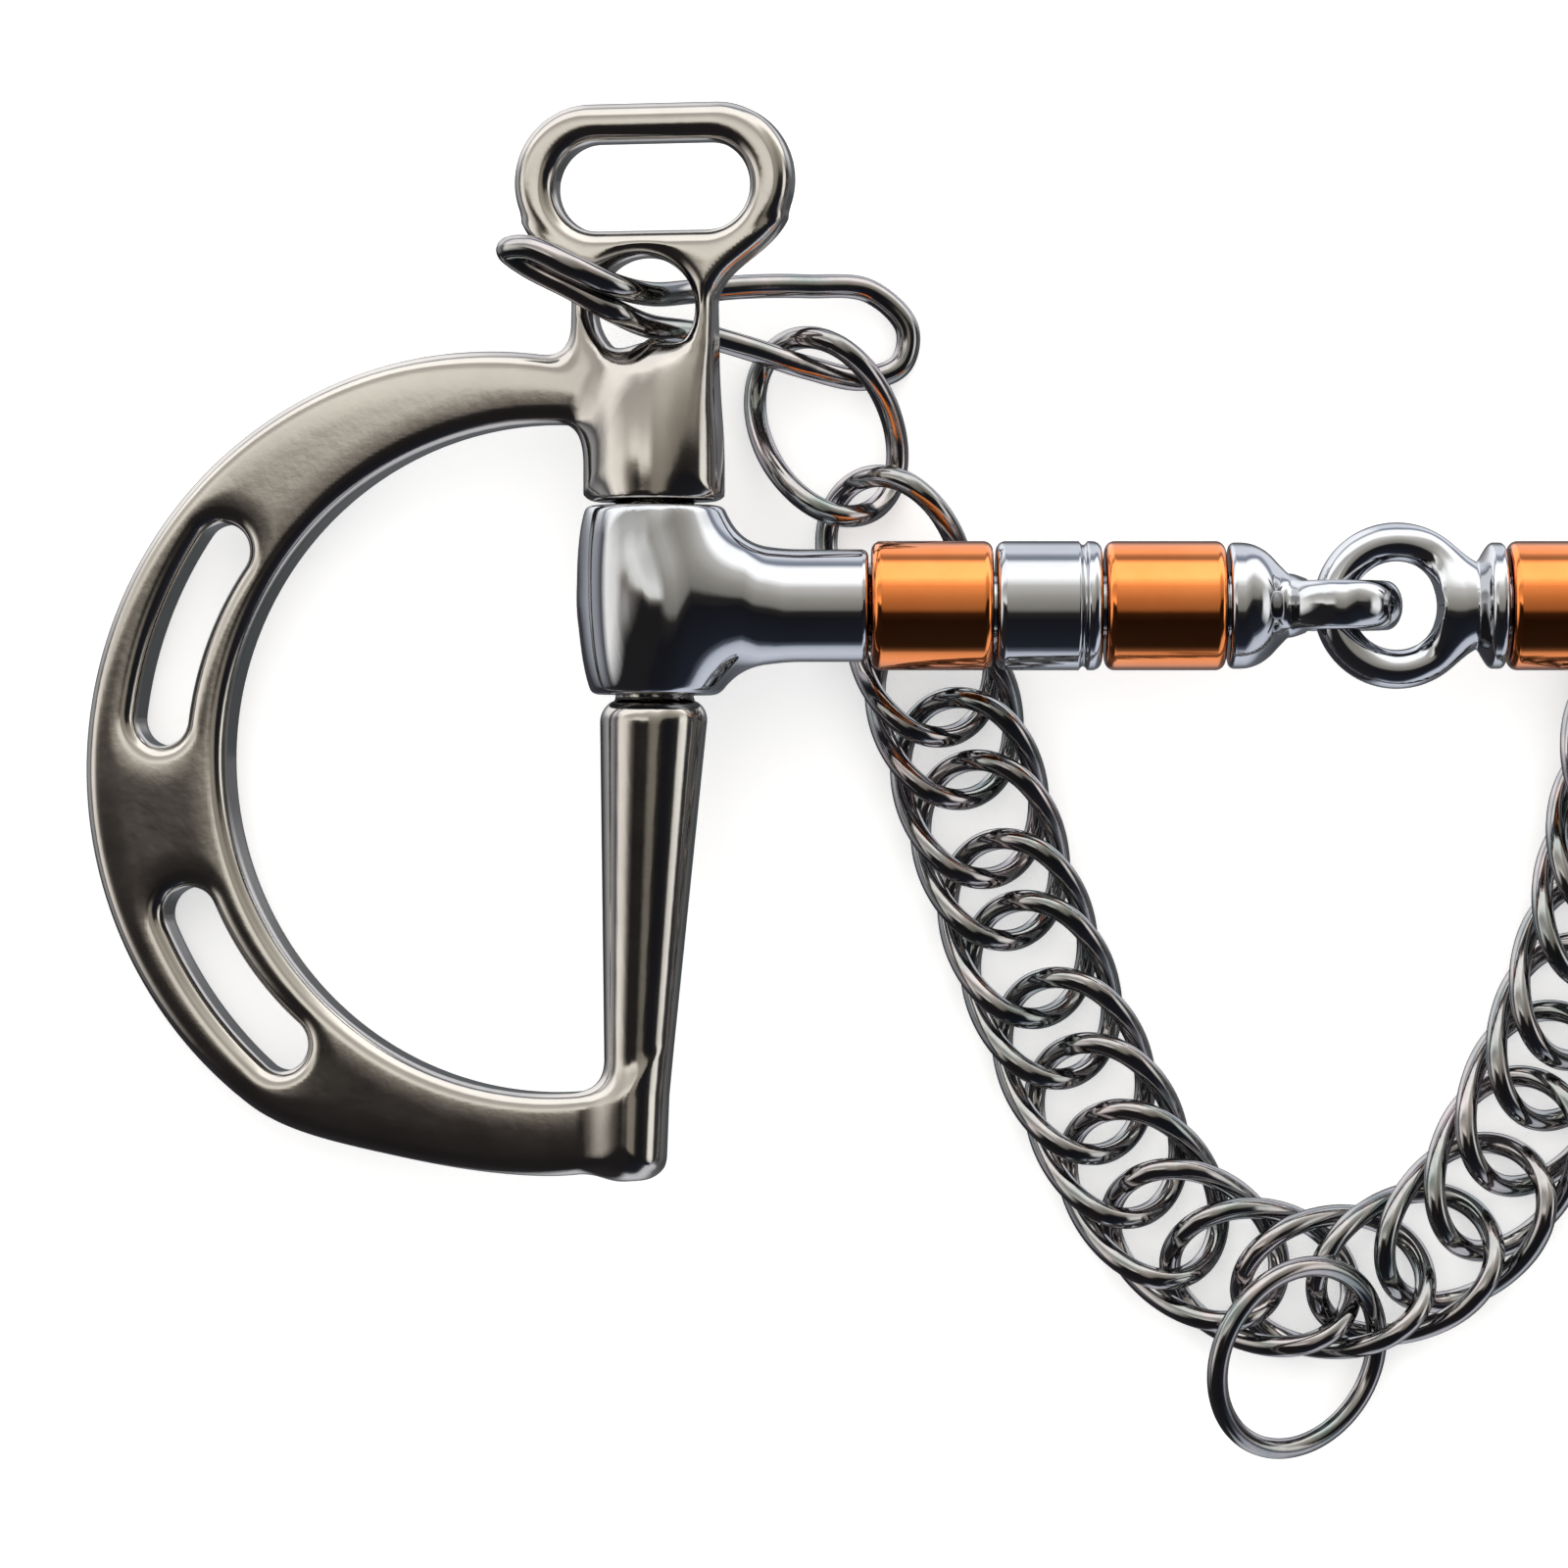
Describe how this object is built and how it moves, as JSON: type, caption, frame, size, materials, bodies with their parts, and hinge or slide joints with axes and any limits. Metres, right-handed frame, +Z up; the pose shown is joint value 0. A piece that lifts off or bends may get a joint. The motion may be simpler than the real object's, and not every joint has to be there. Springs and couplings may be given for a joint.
{
  "type": "curb bit",
  "caption": "Jointed curb bit with slotted D cheeks, copper and steel rollers, curb hooks and a double-link curb chain, laid flat.",
  "frame": {"origin": "bottom centre of the whole bit's box as it lies on a flat surface", "axes": "+X along the mouthpiece towards the right cheek, +Y towards the bridle loops, +Z up from the surface"},
  "size_m": [0.2636, 0.1394, 0.0233],
  "materials": {
    "cheek_steel": "polished stainless steel, slightly warm",
    "mouthpiece_steel": "bright polished steel",
    "copper": "polished copper",
    "chain_steel": "polished steel wire"
  },
  "bodies": {
    "left_cheek": {"left_cheek": "cheek_steel"},
    "left_canon": {"left_mouth_arm": "mouthpiece_steel", "left_joint_eye": "mouthpiece_steel"},
    "right_canon": {"right_mouth_arm": "mouthpiece_steel", "right_joint_ring": "mouthpiece_steel"},
    "right_cheek": {"right_cheek": "cheek_steel"},
    "left_outer_copper_roller": {"left_outer_copper_roller": "copper"},
    "left_steel_roller": {"left_steel_roller": "mouthpiece_steel"},
    "left_inner_copper_roller": {"left_inner_copper_roller": "copper"},
    "right_outer_copper_roller": {"right_outer_copper_roller": "copper"},
    "right_steel_roller": {"right_steel_roller": "mouthpiece_steel"},
    "right_inner_copper_roller": {"right_inner_copper_roller": "copper"},
    "left_curb_hook": {"left_curb_hook": "chain_steel"},
    "right_curb_hook": {"right_curb_hook": "chain_steel"},
    "left_hook_link": {"left_hook_link": "chain_steel"},
    "left_end_link": {"left_end_link": "chain_steel"},
    "curb_link_01": {"curb_link_01": "chain_steel"},
    "curb_link_02": {"curb_link_02": "chain_steel"},
    "curb_link_03": {"curb_link_03": "chain_steel"},
    "curb_link_04": {"curb_link_04": "chain_steel"},
    "curb_link_05": {"curb_link_05": "chain_steel"},
    "curb_link_06": {"curb_link_06": "chain_steel"},
    "curb_link_07": {"curb_link_07": "chain_steel"},
    "curb_link_08": {"curb_link_08": "chain_steel"},
    "curb_link_09": {"curb_link_09": "chain_steel"},
    "curb_link_10": {"curb_link_10": "chain_steel"},
    "curb_link_11": {"curb_link_11": "chain_steel"},
    "curb_link_12": {"curb_link_12": "chain_steel"},
    "curb_link_13": {"curb_link_13": "chain_steel"},
    "curb_link_14": {"curb_link_14": "chain_steel"},
    "curb_link_15": {"curb_link_15": "chain_steel"},
    "curb_link_16": {"curb_link_16": "chain_steel"},
    "curb_link_17": {"curb_link_17": "chain_steel"},
    "curb_link_18": {"curb_link_18": "chain_steel"},
    "curb_link_19": {"curb_link_19": "chain_steel"},
    "curb_link_20": {"curb_link_20": "chain_steel"},
    "curb_link_21": {"curb_link_21": "chain_steel"},
    "curb_link_22": {"curb_link_22": "chain_steel"},
    "right_end_link": {"right_end_link": "chain_steel"},
    "right_hook_link": {"right_hook_link": "chain_steel"},
    "lip_strap_ring": {"lip_strap_ring": "chain_steel"}
  },
  "joints": [
    {"name": "left_cheek_swivel", "type": "hinge", "parent": "left_cheek", "child": "left_canon", "pos_m": [-0.0726, 0.01848, 0.01595], "axis": [0, -1, 0], "range_deg": [0, 110]},
    {"name": "mouthpiece_joint", "type": "hinge", "parent": "left_canon", "child": "right_canon", "pos_m": [-0.0029, 0.01848, 0.01595], "axis": [0, -1, 0], "range_deg": [0, 85]},
    {"name": "right_cheek_swivel", "type": "hinge", "parent": "right_canon", "child": "right_cheek", "pos_m": [0.0726, 0.01848, 0.01595], "axis": [0, -1, 0], "range_deg": [-80, 110]},
    {"name": "left_outer_copper_roller_spin", "type": "hinge", "parent": "left_canon", "child": "left_outer_copper_roller", "pos_m": [-0.0505, 0.01848, 0.01595], "axis": [1, 0, 0], "continuous": true},
    {"name": "left_steel_roller_spin", "type": "hinge", "parent": "left_canon", "child": "left_steel_roller", "pos_m": [-0.0378, 0.01848, 0.01595], "axis": [1, 0, 0], "continuous": true},
    {"name": "left_inner_copper_roller_spin", "type": "hinge", "parent": "left_canon", "child": "left_inner_copper_roller", "pos_m": [-0.0267, 0.01848, 0.01595], "axis": [1, 0, 0], "continuous": true},
    {"name": "right_outer_copper_roller_spin", "type": "hinge", "parent": "right_canon", "child": "right_outer_copper_roller", "pos_m": [0.0505, 0.01848, 0.01595], "axis": [1, 0, 0], "continuous": true},
    {"name": "right_steel_roller_spin", "type": "hinge", "parent": "right_canon", "child": "right_steel_roller", "pos_m": [0.0378, 0.01848, 0.01595], "axis": [1, 0, 0], "continuous": true},
    {"name": "right_inner_copper_roller_spin", "type": "hinge", "parent": "right_canon", "child": "right_inner_copper_roller", "pos_m": [0.0267, 0.01848, 0.01595], "axis": [1, 0, 0], "continuous": true},
    {"name": "left_curb_hook_swing", "type": "hinge", "parent": "left_cheek", "child": "left_curb_hook", "pos_m": [-0.0734, 0.04868, 0.01595], "axis": [0, 0, 1], "range_deg": [-8, 8]},
    {"name": "right_curb_hook_swing", "type": "hinge", "parent": "right_cheek", "child": "right_curb_hook", "pos_m": [0.0734, 0.04868, 0.01595], "axis": [0, 0, 1], "range_deg": [-8, 8]},
    {"name": "left_hook_link_swing", "type": "hinge", "parent": "left_curb_hook", "child": "left_hook_link", "pos_m": [-0.055, 0.04228, 0.0044], "axis": [0, 0, 1], "range_deg": [-6, 3]},
    {"name": "left_end_link_swing", "type": "hinge", "parent": "left_hook_link", "child": "left_end_link", "pos_m": [-0.05137, 0.03004, 0.0044], "axis": [0, 0, 1], "range_deg": [-5, 5]},
    {"name": "curb_link_01_swing", "type": "hinge", "parent": "left_end_link", "child": "curb_link_01", "pos_m": [-0.04625, 0.01866, 0.0044], "axis": [0, 0, 1], "range_deg": [-3.5, 2.5]},
    {"name": "curb_link_02_swing", "type": "hinge", "parent": "curb_link_01", "child": "curb_link_02", "pos_m": [-0.04373, 0.01128, 0.0044], "axis": [0, 0, 1], "range_deg": [-3.5, 2.5]},
    {"name": "curb_link_03_swing", "type": "hinge", "parent": "curb_link_02", "child": "curb_link_03", "pos_m": [-0.04138, 0.00395, 0.0044], "axis": [0, 0, 1], "range_deg": [-3.5, 2.5]},
    {"name": "curb_link_04_swing", "type": "hinge", "parent": "curb_link_03", "child": "curb_link_04", "pos_m": [-0.03899, -0.00337, 0.0044], "axis": [0, 0, 1], "range_deg": [-3.5, 2.5]},
    {"name": "curb_link_05_swing", "type": "hinge", "parent": "curb_link_04", "child": "curb_link_05", "pos_m": [-0.03648, -0.01065, 0.0044], "axis": [0, 0, 1], "range_deg": [-3.5, 2.5]},
    {"name": "curb_link_06_swing", "type": "hinge", "parent": "curb_link_05", "child": "curb_link_06", "pos_m": [-0.03382, -0.01787, 0.0044], "axis": [0, 0, 1], "range_deg": [-3.5, 2.5]},
    {"name": "curb_link_07_swing", "type": "hinge", "parent": "curb_link_06", "child": "curb_link_07", "pos_m": [-0.03088, -0.02499, 0.0044], "axis": [0, 0, 1], "range_deg": [-3.5, 2.5]},
    {"name": "curb_link_08_swing", "type": "hinge", "parent": "curb_link_07", "child": "curb_link_08", "pos_m": [-0.02746, -0.03227, 0.0044], "axis": [0, 0, 1], "range_deg": [-3.5, 2.5]},
    {"name": "curb_link_09_swing", "type": "hinge", "parent": "curb_link_08", "child": "curb_link_09", "pos_m": [-0.02384, -0.03889, 0.0044], "axis": [0, 0, 1], "range_deg": [-3.5, 2.5]},
    {"name": "curb_link_10_swing", "type": "hinge", "parent": "curb_link_09", "child": "curb_link_10", "pos_m": [-0.01927, -0.04478, 0.0044], "axis": [0, 0, 1], "range_deg": [-3.5, 1]},
    {"name": "curb_link_11_swing", "type": "hinge", "parent": "curb_link_10", "child": "curb_link_11", "pos_m": [-0.01322, -0.04908, 0.0044], "axis": [0, 0, 1], "range_deg": [-3.5, 1]},
    {"name": "curb_link_12_swing", "type": "hinge", "parent": "curb_link_11", "child": "curb_link_12", "pos_m": [-0.00612, -0.05112, 0.0044], "axis": [0, 0, 1], "range_deg": [-1, 0.2]},
    {"name": "curb_link_13_swing", "type": "hinge", "parent": "curb_link_12", "child": "curb_link_13", "pos_m": [0.00127, -0.05059, 0.0044], "axis": [0, 0, 1], "range_deg": [-3.5, 0.2]},
    {"name": "curb_link_14_swing", "type": "hinge", "parent": "curb_link_13", "child": "curb_link_14", "pos_m": [0.00802, -0.04759, 0.0044], "axis": [0, 0, 1], "range_deg": [-3.5, 1]},
    {"name": "curb_link_15_swing", "type": "hinge", "parent": "curb_link_14", "child": "curb_link_15", "pos_m": [0.01323, -0.04235, 0.0044], "axis": [0, 0, 1], "range_deg": [-3.5, 2.5]},
    {"name": "curb_link_16_swing", "type": "hinge", "parent": "curb_link_15", "child": "curb_link_16", "pos_m": [0.01698, -0.03585, 0.0044], "axis": [0, 0, 1], "range_deg": [-3.5, 2.5]},
    {"name": "curb_link_17_swing", "type": "hinge", "parent": "curb_link_16", "child": "curb_link_17", "pos_m": [0.02011, -0.02898, 0.0044], "axis": [0, 0, 1], "range_deg": [-3.5, 2.5]},
    {"name": "curb_link_18_swing", "type": "hinge", "parent": "curb_link_17", "child": "curb_link_18", "pos_m": [0.02278, -0.0223, 0.0044], "axis": [0, 0, 1], "range_deg": [-3.5, 2.5]},
    {"name": "curb_link_19_swing", "type": "hinge", "parent": "curb_link_18", "child": "curb_link_19", "pos_m": [0.02507, -0.01496, 0.0044], "axis": [0, 0, 1], "range_deg": [-3.5, 2.5]},
    {"name": "curb_link_20_swing", "type": "hinge", "parent": "curb_link_19", "child": "curb_link_20", "pos_m": [0.02695, -0.00749, 0.0044], "axis": [0, 0, 1], "range_deg": [-3.5, 2.5]},
    {"name": "curb_link_21_swing", "type": "hinge", "parent": "curb_link_20", "child": "curb_link_21", "pos_m": [0.02842, 0.00006, 0.0044], "axis": [0, 0, 1], "range_deg": [-3.5, 2.5]},
    {"name": "curb_link_22_swing", "type": "hinge", "parent": "curb_link_21", "child": "curb_link_22", "pos_m": [0.02961, 0.00767, 0.0044], "axis": [0, 0, 1], "range_deg": [-3.5, 2.5]},
    {"name": "right_end_link_swing", "type": "hinge", "parent": "curb_link_22", "child": "right_end_link", "pos_m": [0.03051, 0.01532, 0.0044], "axis": [0, 0, 1], "range_deg": [-3.5, 2.5]},
    {"name": "right_hook_link_swing", "type": "hinge", "parent": "right_end_link", "child": "right_hook_link", "pos_m": [0.03133, 0.02768, 0.0044], "axis": [0, 0, 1], "range_deg": [-3.5, 2.5]},
    {"name": "lip_strap_ring_swing", "type": "hinge", "parent": "curb_link_12", "child": "lip_strap_ring", "pos_m": [0.00059, -0.05697, 0.0054], "axis": [0.5002, -0.2571, 0.8269], "range_deg": [-3, 3]}
  ]
}
